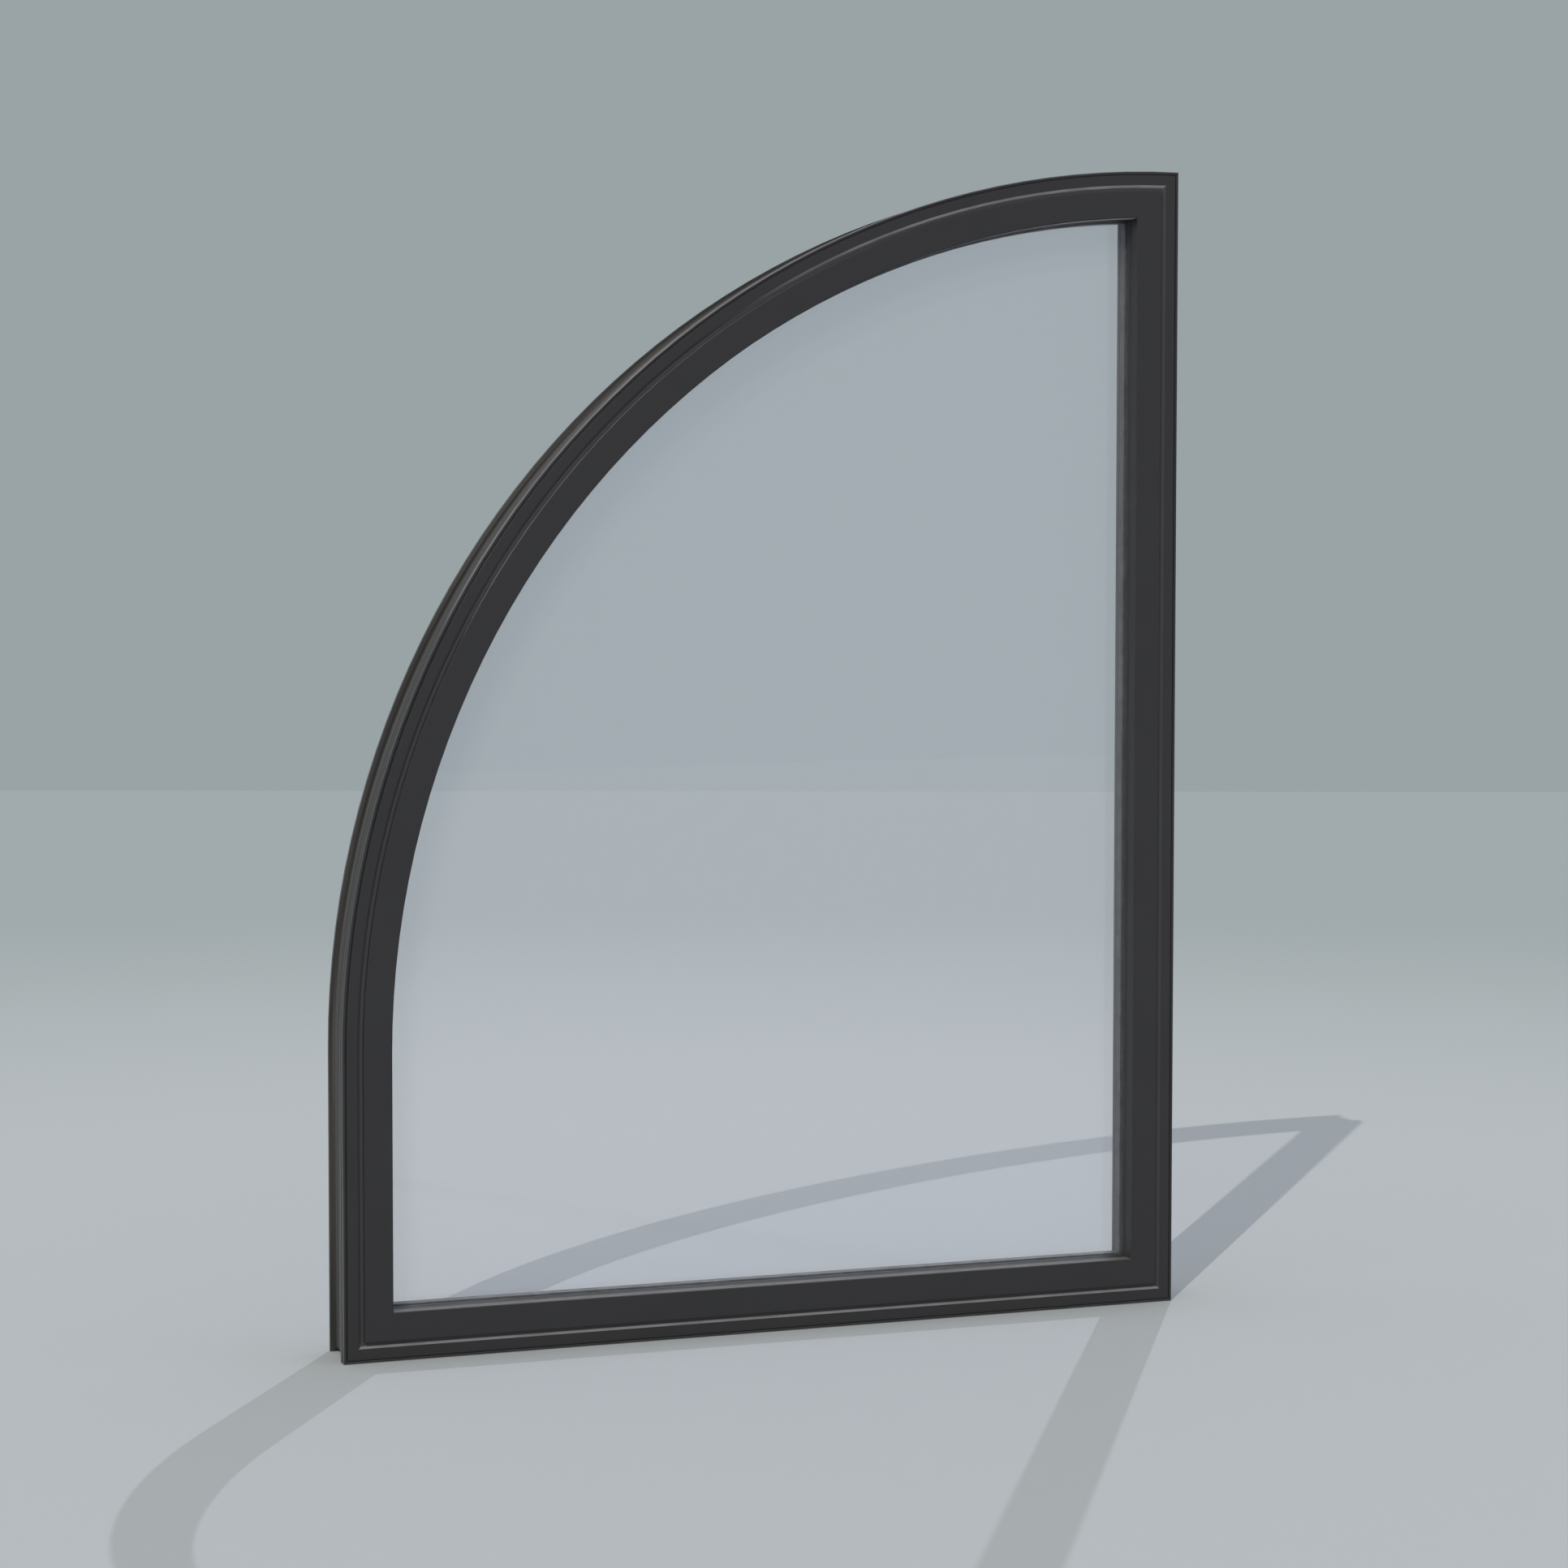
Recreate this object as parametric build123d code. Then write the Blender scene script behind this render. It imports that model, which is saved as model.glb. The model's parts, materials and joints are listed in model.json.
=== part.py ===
"""Fixed quarter round window with an extended left leg, double glazed.

Seen from outside (looking along +Y) the arch rises from the short left jamb to a sharp corner over
the tall right jamb. X runs to the right, Y from the outside face into the room, Z up. The origin is
on the underside of the sill, in the middle of its width, where the sill bears on the wall.

Every ring of members (frame, sash, gaskets, spacer, bead) is one section carried round the same
outline: along the sill, up both jambs and round the arch. A section is drawn as (inset, depth):
inset is measured inwards from the outline, depth from the outside face towards the room.
"""
from build123d import *
import os

# Outline
width = 1067.0              # outside width of the frame, and the radius of its arch
leg_height = 359.0          # straight height of the left jamb, from the bottom edge to the springing

# Frame section
frame_depth = 82.5          # outside face to room face
flange_face = 17.2          # width of the outside flange, from the outline to the open joint
flange_thickness = 18.0     # outside flange, front to back
flange_overhang = 6.3       # how far both flanges stand out past the frame's body
rear_flange = 6.5           # thickness of the rear flange
rear_step_depth = 2.5       # step in front of the rear flange, front to back
rear_step_inset = 3.6       # how far that step is set in from the outline
trim_groove_inset = 2.6     # trim groove in the flange's face: from the outline to its near side
trim_groove_width = 2.2
trim_groove_depth = 4.0
fin_kerf_at = 9.6           # nail-fin kerf round the flange's edge: depth to its near side
fin_kerf_width = 2.6
fin_kerf_depth = 6.0
flange_slope_run = 3.0      # how far the flange's side slopes into the open joint
joint_depth = 2.0           # open joint between flange and sash, front to back
stop_inset = 42.0           # inner face of the room-side stop, from the outline
edge_break = 0.8            # chamfer on the members' exposed corners

# Sash section
joint_width = 7.2           # open joint between the flange and the sash
sash_fit = 0.3              # clearance between the sash and the frame's rebate
sash_proud = 3.2            # how far the sash stands out in front of the flange
sash_face = 33.6            # width of the sash's outside face
sash_corner = 1.0           # chamfer on the sash's corner towards the glass
reveal_straight = 16.7      # straight part of the reveal in front of the glass
reveal_slope_depth = 5.0    # sloped part behind it, front to back
reveal_slope_run = 1.2      # how far that slope comes in towards the glass
pocket_clearance = 4.0      # space between the glass edge and the glazing pocket's base
seal_thickness = 2.0        # seal between sash and stop

# Glazing
glass_bite = 11.2           # how far the glass edge reaches behind the sash's sight line
outer_gasket = 5.0          # gasket thickness, sash lip to outer pane
outer_gasket_width = 9.0
outer_gasket_lip = 0.4      # how far the gasket shows past the sash's slope
pane_thickness = 4.0
spacer_depth = 12.0         # gap between the panes
spacer_sight = 2.2          # how far the spacer shows past the sash's sight line
spacer_height = 13.0        # spacer with its edge seal
inner_gasket = 2.0
inner_gasket_width = 8.0
bead_depth = 10.0           # glazing bead, front to back
bead_sight_drop = 0.2       # how far the bead's nose stays behind the sash's sight line
bead_corner = 1.0           # chamfer on the bead's corner towards the room
block_length = 100.0        # setting blocks under the glass
block_place = 0.25          # their places, as a share of the glass width from each end

# Worked out from the above
radius = width
height = leg_height + radius
sash_inset = flange_face + joint_width
sight = sash_inset + sash_face + reveal_slope_run
glass_inset = sight - glass_bite
pocket_inset = glass_inset - pocket_clearance
slope_at = reveal_straight - sash_proud
lip_back = slope_at + reveal_slope_depth
outer_pane_at = lip_back + outer_gasket
spacer_at = outer_pane_at + pane_thickness
inner_pane_at = spacer_at + spacer_depth
inner_gasket_at = inner_pane_at + pane_thickness
bead_at = inner_gasket_at + inner_gasket
sash_back = bead_at + bead_depth
stop_at = sash_back + seal_thickness
mitre_reach = sight + spacer_sight + 20.0       # how far inwards the corner mitres are cut
rear_step_at = frame_depth - rear_flange - rear_step_depth
bearing_at = (flange_thickness + rear_step_at) / 2


def outline(*points):
    """Closed section face from (inset, depth) points."""
    return make_face(Polyline(*points, close=True))


def frame_section():
    groove_end = trim_groove_inset + trim_groove_width
    kerf_end = fin_kerf_at + fin_kerf_width
    body = flange_overhang
    return outline(
        (0, edge_break), (edge_break, 0),
        (trim_groove_inset, 0), (trim_groove_inset, trim_groove_depth),
        (groove_end, trim_groove_depth), (groove_end, 0),
        (flange_face, 0), (flange_face + flange_slope_run, joint_depth),
        (sash_inset - sash_fit, joint_depth),
        (sash_inset - sash_fit, stop_at), (stop_inset, stop_at),
        (stop_inset, frame_depth - edge_break), (stop_inset - edge_break, frame_depth),
        (edge_break, frame_depth), (0, frame_depth - edge_break),
        (0, frame_depth - rear_flange), (rear_step_inset, frame_depth - rear_flange),
        (rear_step_inset, rear_step_at), (body, rear_step_at),
        (body, flange_thickness), (0, flange_thickness),
        (0, kerf_end), (fin_kerf_depth, kerf_end), (fin_kerf_depth, fin_kerf_at), (0, fin_kerf_at),
    )


def sash_section():
    face_end = sash_inset + sash_face
    return outline(
        (sash_inset, edge_break - sash_proud), (sash_inset + edge_break, -sash_proud),
        (face_end - sash_corner, -sash_proud), (face_end, sash_corner - sash_proud),
        (face_end, slope_at), (sight, lip_back),
        (pocket_inset, lip_back), (pocket_inset, sash_back),
        (sash_inset + edge_break, sash_back), (sash_inset, sash_back - edge_break),
    )


def seal_section():
    return outline(
        (sash_inset + edge_break, sash_back), (pocket_inset, sash_back),
        (pocket_inset, stop_at), (sash_inset + edge_break, stop_at),
    )


def outer_gasket_section():
    inner = sight + outer_gasket_lip
    return outline(
        (inner - outer_gasket_width, lip_back), (inner - 1.0, lip_back),
        (inner, lip_back + 1.0), (inner, outer_pane_at), (inner - outer_gasket_width, outer_pane_at),
    )


def spacer_section():
    inner = sight + spacer_sight
    return outline(
        (inner - spacer_height, spacer_at), (inner, spacer_at),
        (inner, inner_pane_at), (inner - spacer_height, inner_pane_at),
    )


def inner_gasket_section():
    inner = sight - bead_sight_drop
    return outline(
        (inner - inner_gasket_width, inner_gasket_at), (inner, inner_gasket_at),
        (inner, bead_at), (inner - inner_gasket_width, bead_at),
    )


def bead_section():
    nose = sight - bead_sight_drop
    return outline(
        (pocket_inset, bead_at), (nose, bead_at), (nose, sash_back - bead_corner),
        (nose - bead_corner, sash_back), (pocket_inset, sash_back),
    )


def arch_rise(inset):
    """Height above the springing at which the arch and the right jamb meet, at this inset."""
    return (radius ** 2 - 2 * radius * inset) ** 0.5


def upright(sketch):
    """Stands a flat drawing of the outline up: its x stays and its y becomes height."""
    return Plane(origin=(0, 0, 0), x_dir=(1, 0, 0), z_dir=(0, -1, 0)) * sketch


def mitre_territories():
    """The part of the window that belongs to each member, from mitre to mitre.

    The lower corners are mitred at 45 degrees. Where the arch meets the right jamb the mitre is a
    parabola, as each point on it is equally far from a straight edge and a round one.
    """
    reach = mitre_reach
    corner = (width, height)
    inner = (width - reach, leg_height + arch_rise(reach))
    knee_inset = radius - radius * reach / (radius - arch_rise(reach))
    parabola = Bezier(corner, (width - knee_inset, height - knee_inset), inner)
    edges = {
        "bottom": [Polyline((0, 0), (width, 0), (width - reach, reach), (reach, reach), (0, 0))],
        "left": [Polyline((0, 0), (reach, reach), (reach, leg_height), (0, leg_height), (0, 0))],
        "right": [Polyline(inner, (width - reach, reach), (width, 0), corner), parabola],
        "arch": [Polyline(corner, (width, height + reach), (-reach, height + reach),
                          (-reach, leg_height), (width - reach, leg_height), inner), parabola],
    }
    return {
        side: Pos(0, -sash_proud, 0) * extrude(
            upright(make_face(Curve() + lines)), sash_proud + frame_depth, dir=(0, 1, 0))
        for side, lines in edges.items()
    }


def ring(section, territories):
    """The four members that carry one section along the sill, up the jambs and round the arch."""
    lying = Plane(origin=(0, 0, 0), x_dir=(0, 0, 1), z_dir=(-1, 0, 0))
    springing = Axis((radius, 0, leg_height), (0, 1, 0))
    runs = {
        "bottom": extrude(lying * section, width, dir=(1, 0, 0)),
        "left": extrude(section, leg_height, dir=(0, 0, 1)),
        "right": extrude(mirror(section, about=Plane.YZ.offset(width / 2)), height, dir=(0, 0, 1)),
        "arch": revolve(Pos(0, 0, leg_height) * section, springing, 90),
    }
    return {side: (run & territories[side]).solid() for side, run in runs.items()}


def pane(inset, at):
    """One sheet of glass, cut to the outline at this inset."""
    low_left, low_right = (inset, inset), (width - inset, inset)
    top = (width - inset, leg_height + arch_rise(inset))
    half = (radius - inset) * 0.5 ** 0.5
    arc = ThreePointArc(top, (radius - half, leg_height + half), (inset, leg_height))
    edges = Curve() + [Polyline((inset, leg_height), low_left, low_right, top), arc]
    return Pos(0, at, 0) * extrude(upright(make_face(edges)), pane_thickness, dir=(0, 1, 0))


def setting_block(middle):
    """Pad between the glass edge and the glazing pocket, as deep as the glazing unit."""
    depth = inner_gasket_at - outer_pane_at
    block = Box(block_length, depth, pocket_clearance, align=(Align.CENTER, Align.MIN, Align.MIN))
    return Pos(middle, outer_pane_at, pocket_inset) * block


def named(pattern, pieces, **other_names):
    """Node names for a ring's four members."""
    return {pattern.format(other_names.get(side, side)): piece for side, piece in pieces.items()}


def window():
    territories = mitre_territories()
    glass_width = width - 2 * glass_inset
    jambs = {"bottom": "sill", "left": "left_jamb", "right": "right_jamb", "arch": "arch_head"}
    rails = {"bottom": "bottom_rail", "left": "left_stile", "right": "right_stile",
             "arch": "arch_rail"}
    nodes = {}
    nodes |= named("frame_{}", ring(frame_section(), territories), **jambs)
    nodes |= named("sash_{}", ring(sash_section(), territories), **rails)
    nodes |= named("sash_seal_{}", ring(seal_section(), territories))
    nodes |= named("outer_gasket_{}", ring(outer_gasket_section(), territories))
    nodes |= named("spacer_{}", ring(spacer_section(), territories))
    nodes |= named("inner_gasket_{}", ring(inner_gasket_section(), territories))
    nodes |= named("glazing_bead_{}", ring(bead_section(), territories))
    nodes["outer_pane"] = pane(glass_inset, outer_pane_at)
    nodes["inner_pane"] = pane(glass_inset, inner_pane_at)
    nodes["setting_block_left"] = setting_block(glass_inset + block_place * glass_width)
    nodes["setting_block_right"] = setting_block(glass_inset + (1 - block_place) * glass_width)
    return nodes


os.makedirs("parts", exist_ok=True)
to_origin = Pos(-width / 2, -bearing_at, -flange_overhang)
for node, piece in window().items():
    export_step(to_origin * piece, f"parts/{node}.step")
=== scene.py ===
"""Looks of the quarter round window: coated members, rubber seals, clear glass and a plain studio."""
import json
import math

import bpy
from mathutils import Matrix, Vector


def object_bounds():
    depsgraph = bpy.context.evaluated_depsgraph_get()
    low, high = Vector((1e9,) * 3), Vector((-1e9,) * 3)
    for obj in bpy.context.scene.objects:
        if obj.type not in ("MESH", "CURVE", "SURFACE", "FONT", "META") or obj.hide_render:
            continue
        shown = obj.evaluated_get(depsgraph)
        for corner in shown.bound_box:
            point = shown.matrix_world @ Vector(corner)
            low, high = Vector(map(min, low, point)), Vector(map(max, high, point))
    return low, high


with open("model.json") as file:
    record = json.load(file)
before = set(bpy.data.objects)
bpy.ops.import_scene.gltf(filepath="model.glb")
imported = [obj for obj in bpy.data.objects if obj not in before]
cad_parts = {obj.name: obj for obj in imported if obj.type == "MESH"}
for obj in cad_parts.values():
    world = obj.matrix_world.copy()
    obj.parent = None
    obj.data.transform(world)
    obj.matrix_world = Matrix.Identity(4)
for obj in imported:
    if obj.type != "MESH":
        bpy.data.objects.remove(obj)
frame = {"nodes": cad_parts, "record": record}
cad_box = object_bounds()

# Camera, worked out from the photograph's edges and taken as a square picture
PICTURE = 1932                  # pixels a side
FOCAL_PIXELS = 3907.4
CAMERA_PLACE = (-1.2984, -3.6406, 0.8336)
CAMERA_TURN = 19.973            # degrees to the right of straight on
CAMERA_DIP = 2.597              # degrees below level
CAMERA_ROLL = 0.057
CAMERA_REACH = 100.0            # metres
SENSOR = 36.0                   # mm

# The window's outline, in metres: its sill line, its right side, and the arch's centre and radius
SILL_LINE = -0.0063
RIGHT_SIDE = 0.5335
ARCH_CENTRE = (0.5335, 0.3527)
ARCH_RADIUS = 1.067

# Places in from the outline, in metres. A pair is where a change of tone starts and ends.
OUTER_SIDE = (0.0002, 0.0004)   # just inside the outline
CHANNEL_FLOOR = (0.0072, 0.0076)        # just inside the channel round the frame
GROOVE = (0.0024, 0.0050)       # the trim groove, from side to side
JOINT = (0.0170, 0.0245)        # the open joint between flange and sash, from side to side

# Depths, in metres from the middle of the sill's bearing strip towards the room
CHANNEL = (-0.0279, 0.0365)     # from the front flange's back to just before the room face
RECESSED_FROM = (-0.0457, -0.0452)      # just behind the flange's face
RECESSED_TO = (-0.0411, -0.0409)        # just behind the groove's floor
PAINTED_LIGHT_DEPTH = (-0.0479, -0.0328) # the painted light lies between these depths, on the joint and the reveals

# Coating: colours as linear light, and noise as scale and detail
COATING = (0.0336, 0.0324, 0.0338)
COATING_WORN = (0.0356, 0.0344, 0.0358)
COATING_CLOUDS = (9.0, 3.0)
COATING_IOR = 1.5
COATING_GLOSS = 0.25            # specular level
COATING_ROUGHNESS = (0.38, 0.46)
COATING_SHEEN = (40.0, 3.0)     # noise of the roughness
ORANGE_PEEL = (700.0, 2.0)
PEEL_HEIGHT = 0.0002            # metres
PEEL_STRENGTH = 0.10
GROOVE_PAINTED_LIGHT = 1.5              # painted light: how much paler the coating is inside the trim groove, offsetting its shade
JOINT_PAINTED_LIGHT = 0.6               # and in the open joint, the same painted light
SIDE_PAINTED_LIGHT = (0.0450, 0.0434, 0.0427)    # painted light: a paler tone on the sides in shade, the outline's own and the channel's
DIE_LINES = (0.1080, 0.1020, 0.0990)    # lines along those sides
LINES = (1.5, 4.0)
LINES_DRAWN = (1.0, 80.0, 1.0)  # their noise runs this much faster across the depth
LINES_FROM = (0.45, 0.62)       # share of the noise, from coat to line
# Painted light: outside faces that look up or down are paler, as if lit by the ceiling or the floor,
# and a little rougher
PAINTED_LIGHT_UP = (0.125, 0.119, 0.122) # painted light on outside faces that look up, standing for light from above
PAINTED_LIGHT_DOWN = (0.380, 0.363, 0.370)
PAINTED_LIGHT_TURN = (-0.3, 1.15)        # upward share of a face's direction, from the painted light of downward faces to that of upward ones
PAINTED_LIGHT_LEVEL = (0.44, 0.53)       # share at which a face looks up or down enough to get the painted light
PAINTED_LIGHT_PATCHES = (25.0, 3.0)
PAINTED_LIGHT_THINNEST = 0.8             # how much of the painted light is left in its thin patches
PAINTED_LIGHT_MATT = 0.3                 # what it adds to the roughness

# Rubber and spacer
RUBBER = (0.0260, 0.0255, 0.0265)
SPACER = (0.0640, 0.0650, 0.0690)
RUBBER_PALER = 1.6              # its paler clouds
RUBBER_CLOUDS = (60.0, 4.0)
RUBBER_SHEEN = (150.0, 2.0)
RUBBER_ROUGHER = 0.12           # how far its roughness varies
RUBBER_SKIN = (1200.0, 2.0)
SKIN_HEIGHT = 0.0002            # metres
SKIN_STRENGTH = 0.2

# Glass
GLASS_TINT = (0.981, 0.983, 1.000)
GLASS_CLEARNESS = 0.970         # the rest is a faint haze on each face of the panes
GLASS_IOR = 1.45

# Studio. The floor is a square turned to face the camera, and the world is its walls and ceiling.
# Painted light on the floor: a pool of light round and before the window, fading far off to the
# wall's tone
FLOOR_NEAR = (0.438, 0.459, 0.477)
FLOOR_FAR = (0.334, 0.367, 0.378)
FLOOR_BEFORE = (0.500, 0.520, 0.580)
FLOOR_EDGE = 17.62              # metres from the camera to the floor's far edge
FLOOR_PALE = (1.5, 6.2)         # the floor's painted pool of light fades between these distances from the window
FLOOR_STAYS = (-2.5, -0.5)      # before the window the painted pool of light doesn't fade with the distance
FLOOR_BEFORE_FROM = (-4.5, -2.5)
WALL_BEHIND = (0.323, 0.371, 0.381)
WALL_BEFORE = (0.465, 0.495, 0.570)
WALL_TURN = (-0.5, 0.5)         # forward share of the direction, from one wall to the other
CEILING = (0.640, 0.650, 0.680)
CEILING_FROM = (0.25, 0.75)     # upward share of the direction, from wall to ceiling
SUN_ANGLE = 0.35                # degrees


def new_material(name):
    """An empty node material, with its node tree and output."""
    material = bpy.data.materials.new(name)
    material.use_nodes = True
    tree = material.node_tree
    tree.nodes.clear()
    return material, tree, tree.nodes.new("ShaderNodeOutputMaterial")


def object_place(tree):
    """The place on the object, in metres."""
    return tree.nodes.new("ShaderNodeTexCoord").outputs["Object"]


def noise(tree, place, scale, detail):
    texture = tree.nodes.new("ShaderNodeTexNoise")
    texture.inputs["Scale"].default_value = scale
    texture.inputs["Detail"].default_value = detail
    tree.links.new(place, texture.inputs["Vector"])
    return texture.outputs["Fac"]


def ramp(tree, factor, low, high, start=0.35, end=0.65):
    """The tone low until the factor reaches start, and high from its end on."""
    bar = tree.nodes.new("ShaderNodeValToRGB")
    for element, position, tone in zip(bar.color_ramp.elements, (start, end), (low, high)):
        element.position = position
        element.color = (*tone, 1)
    tree.links.new(factor, bar.inputs["Fac"])
    return bar.outputs["Color"]


def span(tree, factor, low, high, start=0.0, end=1.0):
    """A number that goes smoothly from low to high while the factor goes from start to end."""
    spread = tree.nodes.new("ShaderNodeMapRange")
    spread.interpolation_type = "SMOOTHSTEP"
    spread.inputs["From Min"].default_value = start
    spread.inputs["From Max"].default_value = end
    spread.inputs["To Min"].default_value = low
    spread.inputs["To Max"].default_value = high
    tree.links.new(factor, spread.inputs["Value"])
    return spread.outputs["Result"]


def calc(tree, operation, *values):
    """The result of a Math node, from links or plain numbers."""
    node = tree.nodes.new("ShaderNodeMath")
    node.operation = operation
    for socket, value in zip(node.inputs, values):
        if isinstance(value, float):
            socket.default_value = value
        else:
            tree.links.new(value, socket)
    return node.outputs["Value"]


def product(tree, first, *others):
    """Several links or numbers multiplied together."""
    for other in others:
        first = calc(tree, "MULTIPLY", first, other)
    return first


def between(tree, value, low, high, edge=0.0001):
    """One where a value lies between two others, and nought elsewhere."""
    return product(tree, span(tree, value, 0.0, 1.0, low - edge, low + edge),
                   span(tree, value, 1.0, 0.0, high - edge, high + edge))


def blend(tree, factor, low, high):
    """Two colours mixed by a factor; each is a tone or a link."""
    mix = tree.nodes.new("ShaderNodeMix")
    mix.data_type = "RGBA"
    tree.links.new(factor, mix.inputs["Factor"])
    for socket, tone in (("A", low), ("B", high)):
        if isinstance(tone, tuple):
            mix.inputs[socket].default_value = (*tone, 1)
        else:
            tree.links.new(tone, mix.inputs[socket])
    return mix.outputs["Result"]


def parted(tree, vector):
    """The X, Y and Z of a vector."""
    parts = tree.nodes.new("ShaderNodeSeparateXYZ")
    tree.links.new(vector, parts.inputs[0])
    return [parts.outputs[axis] for axis in "XYZ"]


def scaled(tree, vector, factor):
    """A vector or colour times a number from a link, or times three numbers, one for each part."""
    node = tree.nodes.new("ShaderNodeVectorMath")
    tree.links.new(vector, node.inputs[0])
    if isinstance(factor, tuple):
        node.operation = "MULTIPLY"
        node.inputs[1].default_value = factor
    else:
        node.operation = "SCALE"
        tree.links.new(factor, node.inputs["Scale"])
    return node.outputs["Vector"]


def bumps(tree, heights, distance, strength):
    """A surface direction that leans as the heights rise and fall."""
    bump = tree.nodes.new("ShaderNodeBump")
    bump.inputs["Distance"].default_value = distance
    bump.inputs["Strength"].default_value = strength
    tree.links.new(heights, bump.inputs["Height"])
    return bump.outputs["Normal"]


def inset(tree, place):
    """How far a place is inside the window's outline."""
    x, _, z = parted(tree, place)
    over = calc(tree, "MAXIMUM", calc(tree, "SUBTRACT", z, ARCH_CENTRE[1]), 0.0)
    across = calc(tree, "SUBTRACT", ARCH_CENTRE[0], x)
    squares = calc(tree, "ADD", calc(tree, "POWER", across, 2.0), calc(tree, "POWER", over, 2.0))
    arch = calc(tree, "SUBTRACT", ARCH_RADIUS, calc(tree, "SQRT", squares))
    straight = calc(tree, "MINIMUM", calc(tree, "SUBTRACT", RIGHT_SIDE, x),
                    calc(tree, "SUBTRACT", z, SILL_LINE))
    return calc(tree, "MINIMUM", arch, straight)


def shaded_sides(tree, inwards, depth):
    """One on the sides in shade, the outline's own and those of the channel, which get a paler
    painted-light tone.
    """
    channel = product(tree, span(tree, inwards, 1.0, 0.0, *CHANNEL_FLOOR),
                      between(tree, depth, *CHANNEL))
    return calc(tree, "MAXIMUM", channel, span(tree, inwards, 1.0, 0.0, *OUTER_SIDE))


def recess_painted_light(tree, inwards, depth):
    """Painted light: how much paler the coating gets inside the open joint and the trim groove,
    offsetting their shade.
    """
    recessed = product(tree, span(tree, depth, 0.0, 1.0, *RECESSED_FROM),
                       span(tree, depth, 1.0, 0.0, *RECESSED_TO))
    joint = product(tree, between(tree, inwards, *JOINT), JOINT_PAINTED_LIGHT)
    groove = product(tree, between(tree, inwards, *GROOVE), GROOVE_PAINTED_LIGHT)
    return product(tree, recessed, calc(tree, "ADD", joint, groove))


def painted_light_cover(tree, place, depth, up):
    """How much painted light lies on a face: on outside faces that look up or down, in patches."""
    level = span(tree, calc(tree, "ABSOLUTE", up), 0.0, 1.0, *PAINTED_LIGHT_LEVEL)
    patches = span(tree, noise(tree, place, *PAINTED_LIGHT_PATCHES), PAINTED_LIGHT_THINNEST, 1.0, 0.4, 0.6)
    return product(tree, level, between(tree, depth, *PAINTED_LIGHT_DEPTH), patches)


def coating():
    """Satin charcoal coating: fine orange peel and faint cloudiness. Painted light makes the outside
    faces that look up or down, the open joint, the trim groove and the sides in shade paler; those
    sides also carry die lines.
    """
    material, tree, out = new_material("member_paint")
    place = object_place(tree)
    up = parted(tree, tree.nodes.new("ShaderNodeNewGeometry").outputs["Normal"])[2]
    inwards, depth = inset(tree, place), parted(tree, place)[1]

    face = ramp(tree, noise(tree, place, *COATING_CLOUDS), COATING, COATING_WORN)
    # Painted light: the coating is paler in the open joint and the trim groove
    recess_light = calc(tree, "ADD", recess_painted_light(tree, inwards, depth), 1.0)
    # Painted light: the sides in shade get a paler tone, with die lines drawn over it
    streaks = noise(tree, scaled(tree, place, LINES_DRAWN), *LINES)
    lined = ramp(tree, streaks, SIDE_PAINTED_LIGHT, DIE_LINES, *LINES_FROM)
    coat = blend(tree, shaded_sides(tree, inwards, depth), scaled(tree, face, recess_light), lined)
    # Painted light: paler on outside faces that look up or down
    painted_light = painted_light_cover(tree, place, depth, up)
    pale = blend(tree, span(tree, up, 0.0, 1.0, *PAINTED_LIGHT_TURN), PAINTED_LIGHT_DOWN, PAINTED_LIGHT_UP)
    satin = span(tree, noise(tree, place, *COATING_SHEEN), *COATING_ROUGHNESS)
    peel = bumps(tree, noise(tree, place, *ORANGE_PEEL), PEEL_HEIGHT, PEEL_STRENGTH)

    shader = tree.nodes.new("ShaderNodeBsdfPrincipled")
    shader.inputs["IOR"].default_value = COATING_IOR
    shader.inputs["Specular IOR Level"].default_value = COATING_GLOSS
    tree.links.new(blend(tree, painted_light, coat, pale), shader.inputs["Base Color"])
    tree.links.new(calc(tree, "MULTIPLY_ADD", painted_light, PAINTED_LIGHT_MATT, satin), shader.inputs["Roughness"])
    tree.links.new(peel, shader.inputs["Normal"])
    tree.links.new(shader.outputs["BSDF"], out.inputs["Surface"])
    return material


def rubber(name, tone, roughness):
    """Black rubber with a soft sheen and a fine skin."""
    material, tree, out = new_material(name)
    place = object_place(tree)
    paler = tuple(RUBBER_PALER * value for value in tone)
    sheen = span(tree, noise(tree, place, *RUBBER_SHEEN), roughness, roughness + RUBBER_ROUGHER)
    skin = bumps(tree, noise(tree, place, *RUBBER_SKIN), SKIN_HEIGHT, SKIN_STRENGTH)
    shader = tree.nodes.new("ShaderNodeBsdfPrincipled")
    tree.links.new(ramp(tree, noise(tree, place, *RUBBER_CLOUDS), tone, paler),
                   shader.inputs["Base Color"])
    tree.links.new(sheen, shader.inputs["Roughness"])
    tree.links.new(skin, shader.inputs["Normal"])
    tree.links.new(shader.outputs["BSDF"], out.inputs["Surface"])
    return material


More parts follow.
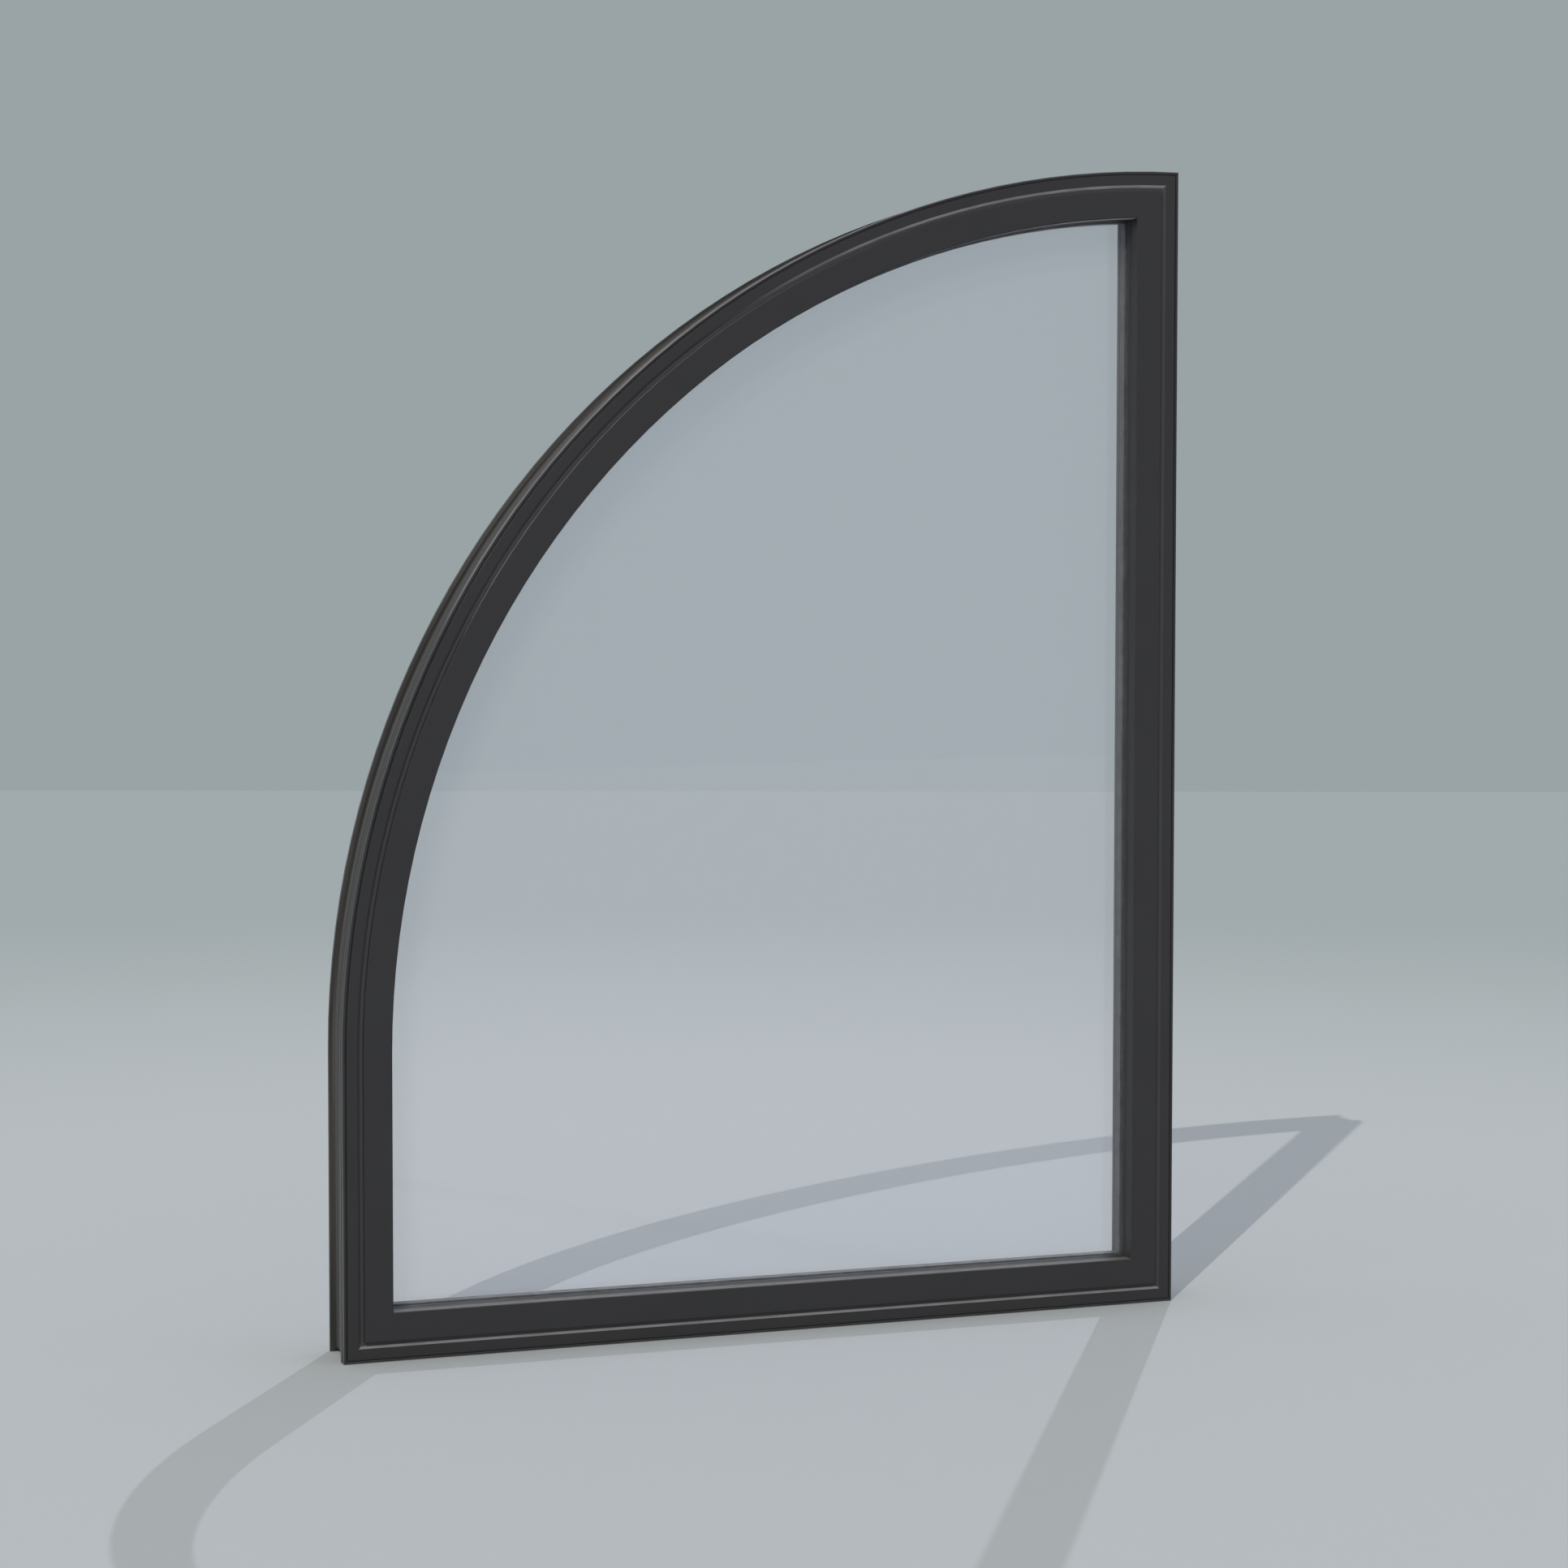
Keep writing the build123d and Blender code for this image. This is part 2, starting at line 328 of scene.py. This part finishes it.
def glass():
    """Clear glass with a faint cool tint. Lamps and scattered light go straight through it, so it
    throws no dark shadow.
    """
    material, tree, out = new_material("pane_glass")
    shader = tree.nodes.new("ShaderNodeBsdfPrincipled")
    shader.inputs["Base Color"].default_value = (*GLASS_TINT, 1)
    shader.inputs["Transmission Weight"].default_value = GLASS_CLEARNESS
    shader.inputs["Roughness"].default_value = 0.0
    shader.inputs["IOR"].default_value = GLASS_IOR
    clear = tree.nodes.new("ShaderNodeBsdfTransparent")
    clear.inputs["Color"].default_value = (*GLASS_TINT, 1)
    rays = tree.nodes.new("ShaderNodeLightPath")
    straight = calc(tree, "MAXIMUM", rays.outputs["Is Shadow Ray"], rays.outputs["Is Diffuse Ray"])
    mix = tree.nodes.new("ShaderNodeMixShader")
    tree.links.new(straight, mix.inputs["Fac"])
    tree.links.new(shader.outputs["BSDF"], mix.inputs[1])
    tree.links.new(clear.outputs["BSDF"], mix.inputs[2])
    tree.links.new(mix.outputs["Shader"], out.inputs["Surface"])
    return material


def dress(materials):
    """Gives each CAD node the material that its record names."""
    for part in frame["record"]["subparts"]:
        node = frame["nodes"][part["node"]]
        for slot in node.material_slots:
            slot.material = materials[part["material_slot"]]


def floor_material():
    """The floor's tone, a painted pool of light: palest round and before the window, and as dark as
    the wall behind it where the two meet.
    """
    material, tree, out = new_material("floor")
    place = object_place(tree)
    distance = tree.nodes.new("ShaderNodeVectorMath")
    distance.operation = "LENGTH"
    tree.links.new(place, distance.inputs[0])
    depth = parted(tree, place)[1]
    fade = product(tree, span(tree, distance.outputs["Value"], 0.0, 1.0, *FLOOR_PALE),
                   span(tree, depth, 0.0, 1.0, *FLOOR_STAYS))
    before = span(tree, depth, 1.0, 0.0, *FLOOR_BEFORE_FROM)
    shader = tree.nodes.new("ShaderNodeBsdfDiffuse")
    tree.links.new(blend(tree, before, blend(tree, fade, FLOOR_NEAR, FLOOR_FAR), FLOOR_BEFORE),
                   shader.inputs["Color"])
    tree.links.new(shader.outputs["BSDF"], out.inputs["Surface"])
    return material


def floor():
    """A plain floor under the window, with its far edge square to the camera."""
    turn = math.radians(CAMERA_TURN)
    along = Vector((math.sin(turn), math.cos(turn), 0.0))
    across = Vector((along.y, -along.x, 0.0))
    reach = FLOOR_EDGE + along.dot(Vector(CAMERA_PLACE))
    level = Vector((0.0, 0.0, cad_box[0][2]))
    corners = [level + reach * (forward * along + sideways * across)
               for forward, sideways in ((-1, -1), (-1, 1), (1, 1), (1, -1))]
    mesh = bpy.data.meshes.new("floor")
    mesh.from_pydata(corners, [], [(0, 1, 2, 3)])
    mesh.materials.append(floor_material())
    plane = bpy.data.objects.new("floor", mesh)
    bpy.context.scene.collection.objects.link(plane)


def walls():
    """The world: one even tone behind the window, a paler one before it and a pale ceiling."""
    world = bpy.data.worlds.new("studio")
    bpy.context.scene.world = world
    world.use_nodes = True
    tree = world.node_tree
    direction = parted(tree, tree.nodes.new("ShaderNodeTexCoord").outputs["Generated"])
    behind = span(tree, direction[1], 0.0, 1.0, *WALL_TURN)
    above = span(tree, direction[2], 0.0, 1.0, *CEILING_FROM)
    tone = blend(tree, above, blend(tree, behind, WALL_BEFORE, WALL_BEHIND), CEILING)
    tree.links.new(tone, tree.nodes["Background"].inputs["Color"])


def sun(name, falls, strength, tone, glints):
    """Light that moves by falls[0] and falls[1] across the floor for each metre that it drops. The
    one without glints isn't mirrored in the window.
    """
    data = bpy.data.lights.new(name, "SUN")
    data.angle = math.radians(SUN_ANGLE)
    data.energy = strength
    data.color = tone
    data.cycles.use_multiple_importance_sampling = False
    light = bpy.data.objects.new(name, data)
    light.visible_glossy = glints
    light.rotation_euler = Vector((*falls, -1.0)).to_track_quat("-Z", "Y").to_euler()
    bpy.context.scene.collection.objects.link(light)


def camera():
    """The camera at the photograph's place."""
    data = bpy.data.cameras.new("camera")
    data.sensor_fit = "HORIZONTAL"
    data.sensor_width = SENSOR
    data.lens = FOCAL_PIXELS / PICTURE * SENSOR
    data.clip_end = CAMERA_REACH
    view = bpy.data.objects.new("camera", data)
    turn = Matrix.Rotation(math.radians(-CAMERA_TURN), 4, "Z")
    dip = Matrix.Rotation(math.radians(90.0 - CAMERA_DIP), 4, "X")
    roll = Matrix.Rotation(math.radians(CAMERA_ROLL), 4, "Z")
    view.matrix_world = Matrix.Translation(CAMERA_PLACE) @ turn @ dip @ roll
    bpy.context.scene.collection.objects.link(view)
    bpy.context.scene.camera = view


dress({
    "member_paint": coating(),
    "seal_rubber": rubber("seal_rubber", RUBBER, 0.45),
    "block_rubber": rubber("block_rubber", RUBBER, 0.6),
    "spacer_black": rubber("spacer_black", SPACER, 0.4),
    "pane_glass": glass(),
})
floor()
walls()
sun("sun_before", (0.704, 0.870), 1.51, (1.0, 0.99, 0.86), True)
sun("sun_behind", (-0.570, -0.928), 0.90, (0.90, 0.96, 1.0), False)
camera()
bpy.context.scene.view_settings.view_transform = "Standard"
